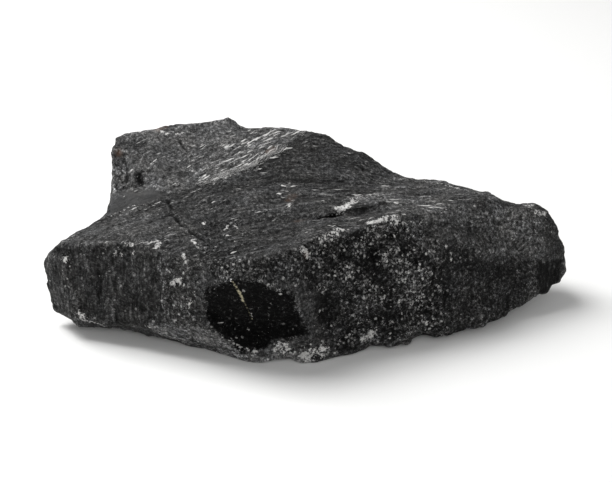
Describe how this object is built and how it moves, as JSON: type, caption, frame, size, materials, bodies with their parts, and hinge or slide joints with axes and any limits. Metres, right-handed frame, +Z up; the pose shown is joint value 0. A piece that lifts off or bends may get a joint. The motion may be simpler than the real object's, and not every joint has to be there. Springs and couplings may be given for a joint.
{
  "type": "dark schist rock",
  "caption": "Single natural dark rock: a low, wedge-shaped slab with a raised block at one corner, a black broken hollow in front and a flat spot below that it rests on.",
  "frame": {"origin": "middle of the bounding box's underside, on the surface the rock rests on", "axes": "+X along the rock's length, from the low left lobe to the long right lobe; +Y from the front corner with the hollow to the rounded back; +Z up"},
  "size_m": [0.242, 0.1258, 0.0745],
  "materials": {
    "rock": "rough near-black layered stone with pale grains, brighter and silkier on the split top"
  },
  "bodies": {
    "root": {"rock": "rock"}
  },
  "joints": []
}
